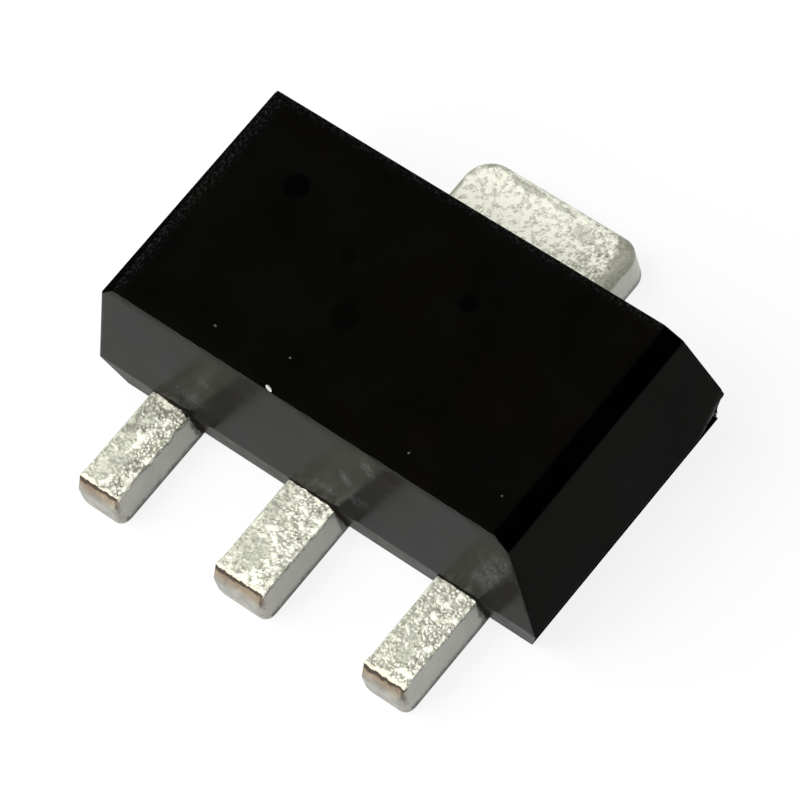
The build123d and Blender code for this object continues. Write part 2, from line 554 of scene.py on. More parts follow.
@dataclass(frozen=True)
class SmoothTin(Finish):
    """Tin on the blanked sides, smooth with faint drawn lines."""

    tone: Colour = (0.42, 0.42, 0.375)
    foot: Colour = (0.04, 0.04, 0.036)
    foot_shade_share: float = 0.85
    foot_shade_height: float = 0.075
    painted_shade: Colour = (0.02, 0.016, 0.012)
    painted_shade_share: float = 1.0
    metallic: float = 0.35

    def write(self, graph: Graph) -> None:
        """Even grey with faint upright lines, a foot painted darker as shade and the lead's painted shade
        laid over it.
        """
        lines = graph.noise(size=0.03, detail=3.0, place=graph.stretched((1.0, 1.0, 0.12)))
        cloud = graph.noise(size=0.18, detail=3.0)
        shade = graph.vary(lines, -0.05, 0.05)
        shade = graph.maths("ADD", shade, graph.vary(cloud, 0.3, 0.7))
        dark = tuple(part * 0.72 for part in self.tone)
        light = tuple(min(1.0, part * 1.25) for part in self.tone)
        body = graph.mix(shade, dark, light)
        ragged = graph.vary(graph.noise(size=0.04, detail=3.0), -0.02 * MM, 0.02 * MM)
        # Painted shade: the sides darken towards the floor.
        low = graph.span(graph.maths("ADD", graph.height(), ragged), self.foot_shade_height * MM, 0.02 * MM)
        body = graph.mix(graph.maths("MULTIPLY", low, self.foot_shade_share), body, self.foot)
        # Painted shade from the lead's coat: the sides next to the body and under the overflowing tin.
        painted_shade = graph.maths("MULTIPLY", graph.attribute("painted_shade"), self.painted_shade_share)
        relief = [(lines, 0.0004), (graph.noise(size=0.02, detail=3.0), 0.0006)]
        colour = graph.mix(painted_shade, body, self.painted_shade)
        graph.surface(colour, graph.vary(cloud, 0.32, 0.5), relief, self.metallic)


@dataclass(frozen=True)
class ShearedCopper(Finish):
    """The cropped tips: bare copper under the upper edge, with tin smeared up from below."""

    dull_silver: Colour = (0.29, 0.28, 0.248)
    silver: Colour = (0.43, 0.42, 0.372)
    brown: Colour = (0.16, 0.112, 0.068)
    copper: Colour = (0.30, 0.225, 0.145)
    tan: Colour = (0.46, 0.37, 0.265)
    painted_tip_shade: Colour = (0.050, 0.030, 0.014)
    roughness: float = 0.42
    metallic: float = 0.3

    def write(self, graph: Graph) -> None:
        """Silver below, tan and copper above, with painted shade almost black under the upper edge."""
        cloud = graph.noise(size=0.10, detail=3.0)
        fine = graph.noise(size=0.018, detail=3.0, place=graph.stretched((1.0, 1.0, 0.35)))
        smeared = graph.ramp(cloud, [(0.35, self.dull_silver), (0.65, self.silver)])
        stops = [(0.3, self.brown), (0.5, self.copper), (0.7, self.tan)]
        bare = graph.ramp(graph.maths("MULTIPLY", graph.maths("ADD", cloud, fine), 0.5), stops)
        share = graph.maths("ADD", graph.attribute("copper"), graph.vary(fine, -0.2, 0.2))
        tone = graph.mix(graph.span(share, 0.15, 0.85), smeared, bare)
        # Painted shade under the upper edge, from the lead's coat.
        painted_tip_shade = graph.maths("ADD", graph.attribute("painted_shade"), graph.vary(fine, -0.15, 0.15))
        colour = graph.mix(graph.span(painted_tip_shade, 0.1, 0.7), tone, self.painted_tip_shade)
        graph.surface(colour, self.roughness, [(fine, 0.0018)], self.metallic)


@dataclass(frozen=True)
class Fleck(Finish):
    """Mineral filler where the moulding is chipped, also used for the painted glints on the front face."""

    tone: float = 0.8
    roughness: float = 0.8

    def write(self, graph: Graph) -> None:
        """Dusty pale grey, uneven."""
        pale = (self.tone, self.tone, self.tone * 0.96)
        dusty = tuple(part * 0.4 for part in pale)
        colour = graph.mix(graph.span(graph.noise(size=0.015, detail=3.0), 0.35, 0.65), dusty, pale)
        graph.surface(colour, self.roughness, [(graph.noise(size=0.01), 0.001)])


@dataclass(frozen=True)
class Flash(Finish):
    """A torn film of resin, black with a brown tinge where it is thin; its black also paints the shade line
    where a lead leaves the body.
    """

    thick: Colour = (0.002, 0.002, 0.002)
    thin: Colour = (0.035, 0.016, 0.007)
    roughness: float = 0.6
    gloss: float = 0.1

    def write(self, graph: Graph) -> None:
        """Black to dark brown."""
        colour = graph.ramp(graph.noise(size=0.08), [(0.45, self.thick), (0.75, self.thin)])
        graph.surface(colour, self.roughness, [(graph.noise(size=0.02), 0.002)], gloss=self.gloss)


@dataclass(frozen=True)
class Hidden(Finish):
    """A piece sealed inside the moulding."""

    tone: Colour = (0.5, 0.5, 0.5)
    metallic: float = 0.0
    roughness: float = 0.4

    def write(self, graph: Graph) -> None:
        """Its own colour, lightly mottled."""
        dark = tuple(part * 0.8 for part in self.tone)
        colour = graph.mix(graph.noise(size=0.05, detail=3.0), dark, self.tone)
        graph.surface(colour, self.roughness, [(graph.noise(size=0.01), 0.0005)], self.metallic)


# --- The moulded body ---


class BodyFace(IntEnum):
    """The finishes that the body wears, in the order of its material indices."""

    TOP = 0
    BEVEL = 1
    RUBBED_BEVEL = 2
    END = 3
    FRONT = 4
    BACK = 5
    FOOT = 6
    UNDER = 7
    FLECK = 8
    DUST_AND_GLINT = 9
    FLASH = 10
    RIM = 11


# Each face of the one moulding compound gets its own tone and gloss: painted light and shade. The foot
# strip's tone is a painted reflection of the floor, the bevels and top are painted darker, and the rim is a
# dark matte copy that paints out light lines on the edges.
BODY_FINISHES = {
    BodyFace.TOP: Moulding("moulding_top", tone=0.0019, roughness=0.62, gloss=0.006, wear_and_reflection=0.030),
    BodyFace.BEVEL: Moulding("moulding_bevel", tone=0.0006, roughness=0.5, gloss=0.0, wear_and_reflection=0.001),
    BodyFace.RUBBED_BEVEL: Moulding("moulding_rubbed_bevel", tone=0.0014, gloss=0.0, wear_and_reflection=0.035),
    BodyFace.END: Moulding("moulding_end", tone=0.0040, roughness=0.35, gloss=0.018, wear_and_reflection=0.01),
    BodyFace.FRONT: Moulding(
        "moulding_front",
        tone=0.0100,
        roughness=0.2,
        gloss=0.076,
        grain_height=0.0002,
        wear_and_reflection=0.10,
        wear_and_reflection_from=0.38,
        lead_reflections=FRONT_LEAD_REFLECTIONS,
    ),
    BodyFace.BACK: Moulding("moulding_back", tone=0.0060, roughness=0.3, gloss=0.10),
    BodyFace.FOOT: Moulding("moulding_foot", tone=0.0300, roughness=0.35, gloss=0.02),
    BodyFace.UNDER: Moulding("moulding_under", tone=0.0120, roughness=0.35, gloss=0.2),
    BodyFace.FLECK: Fleck("filler_fleck"),
    BodyFace.DUST_AND_GLINT: Fleck("filler_dust_and_glint", tone=0.07),
    BodyFace.FLASH: Flash("resin_flash_and_shade_line"),
    BodyFace.RIM: Moulding("moulding_rim", tone=0.0012, roughness=0.6, gloss=0.0, wear_and_reflection=0.010),
}


@dataclass(frozen=True)
class PinMark:
    """A shallow round mark that a mould pin left in the top."""

    x: float
    y: float
    radius: float
    depth: float
    painted_darkness: float = 1.0

    def share(self, point: Vector) -> float:
        """How far inside the mark a point is, from 0 to 1."""
        distance = math.hypot(point.x - self.x, point.y - self.y) / self.radius
        return smooth_step((1.0 - distance) / 0.35)


@dataclass(frozen=True)
class Chip:
    """A small pale speck: on the top, a place where the pale filler shows; on the front face, a painted glint
    of a lead's tin grains mirrored there.
    """

    x: float
    other: float
    radius: float
    length: float = 1.0
    turn: float = 0.0
    on_front: bool = True
    finish: BodyFace = BodyFace.DUST_AND_GLINT


@dataclass(frozen=True)
class MouldedBody:
    """The black body, with worn edges, pin marks painted darker, filler chips, painted glints on the front
    face and flash around the leads that partly paints their shade line.
    """

    parting_height: float = 0.39
    end_draft: float = 11.0
    front_draft: float = 9.8
    back_draft: float = 7.7
    end_undercut: float = 22.3
    side_undercut: float = 7.3
    bevel_width: float = 0.145
    bevel_height: float = 0.14
    bevel_taper: float = 0.06
    edge_radius: float = 0.012
    front_edge_radius: float = 0.03
    parting_radius: float = 0.006
    underside_clearance: float = 0.008
    gate_break_length: float = 0.20
    gate_break_rise: float = 0.11
    scar_depth: float = 0.040
    scar_reach: float = 0.055
    scar_roughness: float = 0.008
    wander: float = 0.002
    wander_pace: float = 1.3
    edge_wobble: float = 0.010
    wobble_reach: float = 0.09
    rub_reach: float = 0.10
    bevel_brink: float = 0.01
    top_skin: float = 0.004
    mesh_spacing: float = 0.064
    mark_spacing: float = 0.025
    top_band: float = 0.06
    band_spacing: float = 0.015
    chip_bury: float = 0.001
    flash_foot: float = 0.03
    flash_gap: float = 0.008
    flash_pinch: float = 0.005
    flash_root: float = 0.02
    flash_wall: float = 0.015
    side_reaches: tuple[float, float] = (0.012, 0.024)
    top_reach: float = 0.010
    pin_marks: tuple[PinMark, ...] = (
        PinMark(-1.31, 0.625, 0.135, 0.008),
        PinMark(0.546, 0.544, 0.10, 0.006, 0.8),
        PinMark(-0.211, -0.084, 0.15, 0.006, 0.6),
        PinMark(-0.55, 0.352, 0.10, 0.003, 0.35),
    )
    chips: tuple[Chip, ...] = (
        Chip(-0.315, -0.922, 0.014, 2.8, -18.0, False, BodyFace.FLECK),
        Chip(-1.039, -0.726, 0.011, 1.3, 0.0, False),
        Chip(-0.348, -0.617, 0.010, 1.0, 0.0, False),
        Chip(1.819, -0.644, 0.009, 1.0, 0.0, False),
        Chip(0.978, -0.752, 0.010, 1.3, 40.0, False),
        # The chips on the front face are painted glints: they sit in the leads' reflections and stand for
        # mirrored tin grains.
        Chip(0.410, 0.929, 0.018, 1.8, 60.0),
        Chip(0.699, 1.315, 0.012, 1.6, 35.0),
        Chip(0.230, 0.619, 0.013, 2.0, 20.0),
        Chip(2.056, 1.168, 0.014, 1.8, 30.0),
        Chip(1.758, 0.742, 0.012, 1.5, 60.0),
        Chip(-1.397, 0.675, 0.011, 1.3),
        Chip(-1.211, 0.625, 0.010, 1.3),
    )

    def build(self) -> Object:
        """Make the body and dress it.

        Returns:
            The body's object.
        """
        bm = self._shell()
        bm.normal_update()
        for face in bm.faces:
            face.material_index = self._side_of(face.normal)
        self._divide(bm)
        self._weather(bm)
        for chip in self.chips:
            self._add_chip(bm, chip)
        for lead in LEADS:
            self._add_flash(bm, lead)
        finishes = [BODY_FINISHES[face] for face in BodyFace]
        return finish_piece("moulded_body_dressed", bm, finishes, "moulded_body")

    def front_y(self, height: float) -> float:
        """Where the front face is at a height."""
        below = max(0.0, self.parting_height - height)
        above = max(0.0, height - self.parting_height)
        return box_mm("moulded_body")[0].y + lean(self.side_undercut, below) + lean(self.front_draft, above)

    def _shell(self) -> BMesh:
        """The drafted block with its bevels, gate break and rounded edges."""
        low, high = box_mm("moulded_body")
        bm = block(Vector((low.x, low.y, self.underside_clearance)), high)
        bevel_z = high.z - self.bevel_height
        for height in (self.parting_height, bevel_z):
            cut_plane(bm, Z_AXIS * height, Z_AXIS)
        middle_y = (low.y + high.y) / 2
        for vert in bm.verts:
            below = max(0.0, self.parting_height - vert.co.z)
            above = max(0.0, vert.co.z - self.parting_height)
            end = lean(self.end_undercut, below)
            end += lean(self.end_draft, min(above, bevel_z - self.parting_height))
            tapered = vert.co.x < 0.0 and vert.co.y > middle_y
            bevel = self.bevel_width - (self.bevel_taper if tapered else 0.0)
            end += bevel * max(0.0, vert.co.z - bevel_z) / self.bevel_height
            vert.co.x -= math.copysign(end, vert.co.x)
            if vert.co.y < middle_y:
                vert.co.y = self.front_y(vert.co.z)
            else:
                vert.co.y -= lean(self.side_undercut, below) + lean(self.back_draft, above)
        trim(bm, *self._gate_plane(high))
        front = Vector((self.front_y(high.z), high.z))
        round_edges(bm, self.front_edge_radius, 4, lambda edge: (middle(edge).yz - front).length < SAME_PLACE)
        round_edges(bm, self.edge_radius, 2, self._is_corner)
        round_edges(bm, self.parting_radius, 2, self._is_parting)
        return bm

    def _gate_plane(self, high: Vector) -> tuple[Vector, Vector]:
        """The plane of the corner where the mould's gate was broken away."""
        rise, depth = self.gate_break_rise, self.parting_height
        top = high - Vector((lean(self.end_draft, rise), lean(self.back_draft, rise), high.z - depth - rise))
        front = Vector((high.x, high.y - self.gate_break_length, depth))
        foot = high - Vector((lean(self.end_undercut, depth), lean(self.side_undercut, depth), high.z))
        normal = (front - top).cross(foot - top).normalized()
        return top, normal if normal.x > 0 else -normal

    def _is_corner(self, edge: BMEdge) -> bool:
        """Whether an edge is one of the sharp outer edges above the parting line."""
        turn = edge.calc_face_angle(0.0)
        return middle(edge).z > self.parting_height + 0.01 and turn > math.radians(30.0)

    def _is_parting(self, edge: BMEdge) -> bool:
        """Whether an edge runs along the parting line."""
        return all(abs(vert.co.z - self.parting_height) < SAME_PLACE for vert in edge.verts)

    def _side_of(self, normal: Vector) -> BodyFace:
        """The finish of a face by its normal; rounded long edges take the top's dark matte finish as painted
        shade in place of their highlight.
        """
        if normal.z > 0.85:
            return BodyFace.TOP
        if normal.z < -0.85:
            return BodyFace.UNDER
        if abs(normal.x) > 0.45 and normal.z > 0.45:
            return BodyFace.BEVEL if normal.x > 0.0 else BodyFace.RUBBED_BEVEL
        # Back and end roundings, and the right end's undercut, take the dark rim copy: painted shade.
        if normal.y > 0.25 and max(abs(normal.x), normal.z) > 0.25 and normal.z > -0.15:
            return BodyFace.RIM
        if abs(normal.x) > 0.45:
            painted_dark_end = normal.z < -0.3 if normal.x > 0.0 else normal.z > 0.25
            return BodyFace.RIM if painted_dark_end else BodyFace.END
        if normal.z < -0.06:
            return BodyFace.FOOT
        if normal.z > 0.3:
            return BodyFace.TOP
        return BodyFace.FRONT if normal.y < 0.0 else BodyFace.BACK

    def _divide(self, bm: BMesh) -> None:
        """Divide the body finely, and more finely at the pin marks and the top's edges."""
        for normal, name in ((X_AXIS, "x"), (Y_AXIS, "y")):
            for mark in self.pin_marks:
                centre = getattr(mark, name)
                for place in spread(centre - mark.radius, centre + mark.radius, self.mark_spacing):
                    cut_plane(bm, normal * place, normal, lambda face: face.normal.z > 0.9)
        top = box_mm("moulded_body")[1].z
        for place in spread(top - self.top_band, top, self.band_spacing):
            cut_plane(bm, Z_AXIS * place, Z_AXIS)
        refine(bm, lambda face: True, self.mesh_spacing, 1)

    def _weather(self, bm: BMesh) -> None:
        """Press in the pin marks, let the surfaces wander a little and mark the rubbed edges."""
        rubbed = bm.verts.layers.float.new("rubbed")
        pin = bm.verts.layers.float.new("pin")
        high = box_mm("moulded_body")[1]
        gate_place, gate_normal = self._gate_plane(high)
        bm.normal_update()
        moves = {}
        for vert in bm.verts:
            point = vert.co.copy()
            inset = (noise.noise(point * self.wander_pace) + 1.0) / 2 * self.wander
            if point.z > high.z - self.top_skin:
                for mark in self.pin_marks:
                    share = mark.share(point)
                    inset += mark.depth * share
                    # How much the mark's colour is painted darker.
                    vert[pin] = max(vert[pin], mark.painted_darkness * share)
            from_edge = math.hypot(high.z - point.z, point.y - self.front_y(point.z))
            near_front = smooth_step(1.0 - from_edge / self.wobble_reach)
            wobble = ripple(point.x * 7.0, 0.0, 3.0) + 0.6 * noise.noise(point * 19.0)
            inset += self.edge_wobble * near_front * max(0.0, 0.5 + wobble)
            off_gate = abs((point - gate_place).dot(gate_normal))
            inset += self._scar(point) * smooth_step(1.0 - off_gate / self.scar_reach)
            vert[rubbed] = self._edge_share(point, high)
            moves[vert] = vert.normal * inset
        for vert, move in moves.items():
            if vert.co.z > self.underside_clearance + self.wander:
                vert.co -= move

    def _scar(self, point: Vector) -> float:
        """How deep the broken gate is torn out at a point."""
        share = point.z / (self.parting_height + self.gate_break_rise)
        hollow = max(0.0, math.sin(math.pi * min(1.0, share)))
        return self.scar_depth * hollow + self.scar_roughness * (1.0 + noise.noise(point * 30.0))

    def _edge_share(self, point: Vector, high: Vector) -> float:
        """How close a point is to the edges of the top, from 0 to 1."""
        above = max(0.0, point.z - self.parting_height)
        back = high.y - lean(self.back_draft, above)
        side = high.x - lean(self.end_draft, above)
        if point.z > high.z - self.bevel_brink:
            side -= self.bevel_width - lean(self.end_draft, self.bevel_height)
        gaps = sorted((abs(point.y - back), abs(point.x + side), abs(high.z - point.z)))
        return smooth_step(1.0 - gaps[1] / self.rub_reach)

    def _add_chip(self, bm: BMesh, chip: Chip) -> None:
        """Set one pale chip, or one painted glint on the front face, into the surface."""
        top = box_mm("moulded_body")[1].z
        if chip.on_front:
            place = Matrix.Translation((chip.x, self.front_y(chip.other) + self.chip_bury, chip.other))
            lay = Matrix.Rotation(math.radians(90.0 - self.front_draft), 4, "X")
        else:
            place = Matrix.Translation((chip.x, chip.other, top - self.chip_bury))
            lay = Matrix.Identity(4)
        turn = Matrix.Rotation(math.radians(chip.turn), 4, "Z")
        shape = place @ lay @ turn @ Matrix.Diagonal((chip.length, 1.0, 0.2, 1.0))
        made = bmesh.ops.create_icosphere(bm, subdivisions=2, radius=chip.radius, matrix=shape)
        for vert in made["verts"]:
            vert.co += noise.noise_vector(vert.co * 60.0) * chip.radius * 0.3
            vert.co.z = min(vert.co.z, top)
        for face in {face for vert in made["verts"] for face in vert.link_faces}:
            face.material_index = chip.finish

    def _add_flash(self, bm: BMesh, lead: "Lead") -> None:
        """Lay a torn collar of resin over a lead where it leaves the body; its black is partly painted shade
        of the crevice there.

        Args:
            bm: The body's mesh, which gains the collar.
            lead: The lead that the collar goes around.
        """
        made = bmesh.ops.create_grid(bm, x_segments=90, y_segments=3, size=1.0)
        faces = list({face for vert in made["verts"] for face in vert.link_faces})
        for vert in made["verts"]:
            vert.co = self._collar_point(lead, (vert.co.x + 1.0) / 2, (1.0 - vert.co.y) / 2)
        thick = bmesh.ops.extrude_face_region(bm, geom=faces)
        inner = [part for part in thick["geom"] if isinstance(part, BMVert)]
        centre = Vector((lead.centre_x, 0.0, self.parting_height / 2))
        walls = 2 * self.flash_wall
        shrink = Vector((1.0 - walls / lead.width, 1.0, 1.0 - walls / self.parting_height))
        bmesh.ops.scale(bm, vec=shrink, verts=inner, space=Matrix.Translation(-centre))
        shell = {face for vert in [*made["verts"], *inner] for face in vert.link_faces}
        for face in shell:
            face.material_index = BodyFace.FLASH
        bmesh.ops.recalc_face_normals(bm, faces=list(shell))

    def _collar_point(self, lead: "Lead", along: float, outward: float) -> Vector:
        """A point of the collar's outer skin.

        Args:
            lead: The lead that the collar goes around.
            along: From 0 at the foot of the left side, over the top, to 1 at the right foot.
            outward: From 0 inside the body to 1 at the torn edge.

        Returns:
            The point in millimetres.
        """
        gap = self.flash_gap - self.flash_pinch * outward
        side = self.parting_height + gap - self.flash_foot
        half = lead.width / 2 + gap
        walked = along * (2 * side + 2 * half)
        tear = ripple(walked * 12.0, lead.centre_x, 1.0) + 0.5 * ripple(walked * 40.0, lead.centre_x, 5.0)
        left_reach, right_reach = self.side_reaches
        if walked < side:
            x, z, reach = lead.centre_x - half, self.flash_foot + walked, left_reach
        elif walked < side + 2 * half:
            across = (walked - side) / half - 1.0
            x, z = lead.centre_x + across * half, self.parting_height + gap
            reach = self.top_reach + 0.020 * max(0.0, across) ** 5 + 0.008 * across * lead.flash_skew
        else:
            x, z = lead.centre_x + half, self.parting_height + gap - (walked - side - 2 * half)
            reach = right_reach
        reach *= 1.0 + 0.8 * tear
        return Vector((x, self.front_y(z) + self.flash_root - outward * (self.flash_root + reach), z))


# --- Leads and heat tab ---


class LeadFace(IntEnum):
    """The finishes that a lead wears, in the order of its material indices."""

    PLATED = 0
    SIDE = 1
    TIP = 2
    UNDER = 3
    TAB_SIDE = 4


PLATED_FINISHES = (
    PlatedTin("plated_tin"),
    SmoothTin("smooth_tin"),
    ShearedCopper("sheared_copper"),
    SmoothTin("soldering_face", tone=(0.46, 0.46, 0.41), foot_shade_share=0.0, painted_shade_share=0.0),
    # The tab's side is a lighter copy of the smooth tin: painted light.
    SmoothTin("smooth_tab_side_painted_lighter", tone=(0.56, 0.56, 0.50), foot_shade_share=0.6),
)


@dataclass(frozen=True)
class WornPatch:
    """A place where the tin was pressed flat and dull."""

    x: float
    y: float
    reach_x: float
    reach_y: float
    strength: float = 1.0

    def share(self, point: Vector) -> float:
        """How worn a point is, from 0 to 1."""
        ragged = 1.0 + 0.5 * noise.noise(point * 14.0) + 0.3 * noise.noise(point * 37.0)
        distance = math.hypot((point.x - self.x) / self.reach_x, (point.y - self.y) / self.reach_y)
        return self.strength * smooth_step((1.35 * ragged - distance) / 0.6)


@dataclass(frozen=True)
class Coat:
    """How the metal looks at one point; every value runs from 0 to 1."""

    grain: float = 1.0
    polish: float = 0.0
    cream: float = 0.0
    painted_shade: float = 0.0
    copper: float = 0.0


@dataclass(frozen=True)
class TinRelief:
    """The lumpy growth of the tin on an upper face."""

    grain: float = 0.034
    height: float = 0.009
    seams: float = 0.42
    seam_depth: float = 0.66
    cloud: float = 0.22
    hollow: float = 0.30
    worn: tuple[WornPatch, ...] = ()

    def polish(self, point: Vector) -> float:
        """How worn the tin is at a point, from 0 to 1."""
        return min(1.0, sum(patch.share(point) for patch in self.worn))

    def growth(self, point: Vector) -> float:
        """Height of the grains at a point, from 0 in their seams to 1 on their backs."""
        bent = point + noise.noise_vector(point / self.grain * 0.8) * self.grain * 0.6
        distances = noise.voronoi(bent / self.grain)[0]
        seam = 1.0 - smooth_step((distances[1] - distances[0]) / 0.38)
        open_here = smooth_step((noise.noise(point / (self.grain * 2.1)) + self.seams) / 0.45)
        hollow = self.hollow * max(0.0, noise.noise(point / (self.grain * 0.9) + Vector((7.0, 3.0, 1.0))))
        cloud = self.cloud * max(0.0, noise.noise(point / (self.grain * 3.5)) + 0.35)
        return min(1.0, max(0.0, 1.0 - self.seam_depth * seam * open_here - hollow - cloud))


class Skin:
    """What the surface of a stretch of tinned copper looks like."""

    relief: TinRelief
    side: LeadFace = LeadFace.SIDE

    def coat(self, point: Vector) -> Coat:
        """The metal's look at a point."""
        raise NotImplementedError

    def overflow(self, point: Vector, normal: Vector) -> float:
        """How far down an upright face the lumpy tin of the upper face runs over."""
        raise NotImplementedError


@dataclass(frozen=True)
class Lead(Skin):
    """The part of the copper frame that shows in front of the body as one lead."""

    node: str
    centre_x: float
    width: float
    relief: TinRelief
    left_corner: float = 0.05
    right_corner: float = 0.085
    flare: float = 0.022
    flare_length: float = 0.16
    tip_setback: float = 0.075
    tip_reach: float = 0.11
    slope_height: float = 0.17
    flash_skew: float = 0.0
    foot_radius: float = 0.08
    left_roll: float = 0.08
    rim_width: float = 0.024
    rim_wander: float = 0.035
    left_edge_shade_share: float = 0.8
    half_polish: float = 0.25
    cream_share: float = 0.85
    copper_depth: float = 0.17
    root_grime: float = 0.045

    @property
    def top(self) -> float:
        """The height of the upper face."""
        return box_mm(self.node)[1].z

    @property
    def tip_y(self) -> float:
        """The front end of the cropped tip."""
        return box_mm(self.node)[0].y + 0.003

    def bar(self, back_y: float) -> BMesh:
        """The straight bar with its cropped tip.

        Args:
            back_y: Where the bar ends inside the body.

        Returns:
            A closed mesh in millimetres.
        """
        left = self.centre_x - self.width / 2
        right = self.centre_x + self.width / 2
        bm = block(Vector((left, self.tip_y, 0.0)), Vector((right, back_y, self.top)))
        lower_left = Vector((left, 0.0))
        round_edges(bm, self.left_roll, 4, lambda edge: (middle(edge).xz - lower_left).length < SAME_PLACE)
        for side_x, radius in ((left, self.left_corner), (right, self.right_corner)):
            round_upright(bm, radius, 5, Vector((side_x, self.tip_y)))
        slope = Vector((0.0, -self.slope_height, self.tip_setback))
        trim(bm, Vector((0.0, self.tip_y, self.top - self.slope_height)), slope)
        round_edges(bm, self.foot_radius, 4, self._is_foot)
        cut_plane(bm, Y_AXIS * (self.tip_y + self.flare_length), Y_AXIS)
        for vert in bm.verts:
            share = smooth_step(1.0 - (vert.co.y - self.tip_y) / self.flare_length)
            leftward = max(0.0, (self.centre_x - vert.co.x) / (self.width / 2))
            vert.co.x -= self.flare * share * leftward
        return bm

    def _is_foot(self, edge: BMEdge) -> bool:
        """Whether an edge is part of the lower front edge of the tip."""
        place = middle(edge)
        along = abs(edge.verts[0].co.y - edge.verts[1].co.y)
        return place.z < SAME_PLACE and place.y < self.tip_y + self.tip_reach and along < self.width / 2

    def coat(self, point: Vector) -> Coat:
        """The lead's look at a point."""
        across = (point.x - self.centre_x) / (self.width / 2)
        depth = self.top - point.z
        behind_tip = point.y - self.tip_y
        rim = self.rim_width + self.rim_wander * ripple(point.x * 16.0, self.centre_x, 0.0)
        cream = smooth_step((self.tip_setback + rim - behind_tip) / 0.015)
        # Painted shade: a dull grey line along the left edge, which rounds away to the left; it is carried in
        # the polish value.
        left_edge_shade = smooth_step((-0.93 - across) / 0.03) * self.left_edge_shade_share
        left_half = self.half_polish * smooth_step((0.1 - across + 0.5 * noise.noise(point * 6.0)) / 0.5)
        polish = min(1.0, max(self.relief.polish(point), left_half) * (1.0 - cream) + left_edge_shade)
        growth = self.relief.growth(point) * (1.0 - 0.5 * polish)
        return Coat(
            grain=max(growth, 0.75 * cream),
            polish=polish,
            cream=self.cream_share * cream,
            # Painted shade: the tip's rim line, the sides next to the body and the crevice under the
            # overflowing tin.
            painted_shade=max(
                self._tip_rim_shade(point, across, depth),
                self._root_grime(point),
                self._overflow_shade(point, across, depth),
            ),
            copper=smooth_step(1.0 - (depth - 0.04) / self.copper_depth),
        )

    def _tip_rim_shade(self, point: Vector, across: float, depth: float) -> float:
        """Painted shade: the dark line under the upper rim of the tip and down its right corner."""
        edge = self.overflow(point, Vector((0.0, -1.0, 0.0)))
        thick = 0.016 - 0.010 * across + 0.014 * ripple(point.x * 20.0, 0.0, self.centre_x)
        line = smooth_step((depth - edge + 0.012) / 0.012)
        line *= 1.0 - smooth_step((depth - edge - thick) / 0.04)
        corner = math.exp(-(((across - 0.90) / 0.07) ** 2)) * smooth_step((point.z - 0.08) / 0.2)
        return max(line, 0.55 * corner) * smooth_step((self.tip_y + self.tip_reach - point.y) / 0.03)

    def _overflow_shade(self, point: Vector, across: float, depth: float) -> float:
        """Painted shadow under the lumpy tin that runs over the right side."""
        if across < 0.95:
            return 0.0
        below = (depth - self.overflow(point, Vector((1.0, 0.0, 0.0)))) / 0.014
        patchy = 0.5 + 0.8 * ripple(9.0, point.y * 18.0, self.centre_x)
        return max(0.0, patchy) * math.exp(-((below - 0.4) ** 2))

    def _root_grime(self, point: Vector) -> float:
        """Painted shade that darkens the sides next to the body."""
        root = box_mm("moulded_body")[0].y
        ragged = self.root_grime + 0.03 * ripple(0.0, self.centre_x, point.z * 12.0)
        return 0.9 * smooth_step((point.y - root + ragged) / 0.03)

    def overflow(self, point: Vector, normal: Vector) -> float:
        """How far down a side or the tip the lumpy tin runs over."""
        if normal.y < -0.5:
            wave = ripple(point.x * 13.0, self.centre_x, 2.0)
            wave += 0.6 * ripple(point.x * 34.0, self.centre_x, 7.0)
            return 0.020 + 0.018 * wave
        if normal.x > 0.5:
            wave = ripple(0.0, point.y * 12.0, self.centre_x)
            wave += 0.6 * ripple(3.0, point.y * 34.0, self.centre_x)
            return 0.024 + 0.030 * wave
        return 0.004


@dataclass(frozen=True)
class TabSkin(Skin):
    """The look of the heat tab, with its rubbed edges and painted shade on its rolled edges."""

    half_width: float
    far_y: float
    corner: float
    roll: float
    relief: TinRelief
    # Widths of the painted shade along the rolled edges.
    rim_width: float = 0.030
    left_rim: float = 0.050
    right_rim: float = 0.140
    roll_shade_tone: float = 0.18
    side: LeadFace = LeadFace.TAB_SIDE

    def coat(self, point: Vector) -> Coat:
        """The tab's look at a point."""
        at_left = smooth_step((-0.45 - point.x) / 0.25)
        at_right = smooth_step((point.x - 0.55) / 0.25)
        width = self.rim_width + self.left_rim * at_left + self.right_rim * at_right
        ragged = width * (1.0 + 0.6 * noise.noise(point * 11.0))
        # Painted shade on the rolled edges, widest on the right.
        rim = smooth_step((ragged - self._inset(point)) / (0.02 + 0.5 * width)) * (0.75 + 0.2 * at_right)
        toward_right = smooth_step((point.x - 0.1) / (self.half_width - 0.1))
        speckle = 0.9 * toward_right * max(0.0, 0.30 + noise.noise(point / 0.022))
        growth = max(0.0, self.relief.growth(point) - speckle)
        polish = self.relief.polish(point)
        growth *= 1.0 - 0.6 * polish
        return Coat(grain=growth + (self.roll_shade_tone - growth) * rim, polish=polish)

    def _inset(self, point: Vector) -> float:
        """How far a point is inside the tab's outline."""
        side = abs(point.x) - self.half_width + self.corner
        far = point.y - self.far_y + self.corner
        if side > 0.0 and far > 0.0:
            return self.corner - math.hypot(side, far)
        return min(self.corner - side, self.corner - far)

    def overflow(self, point: Vector, normal: Vector) -> float:
        """The plated finish, with its painted roll shade, follows the rolled edge down."""
        return self.roll * (1.1 + 0.5 * noise.noise(point * 9.0))


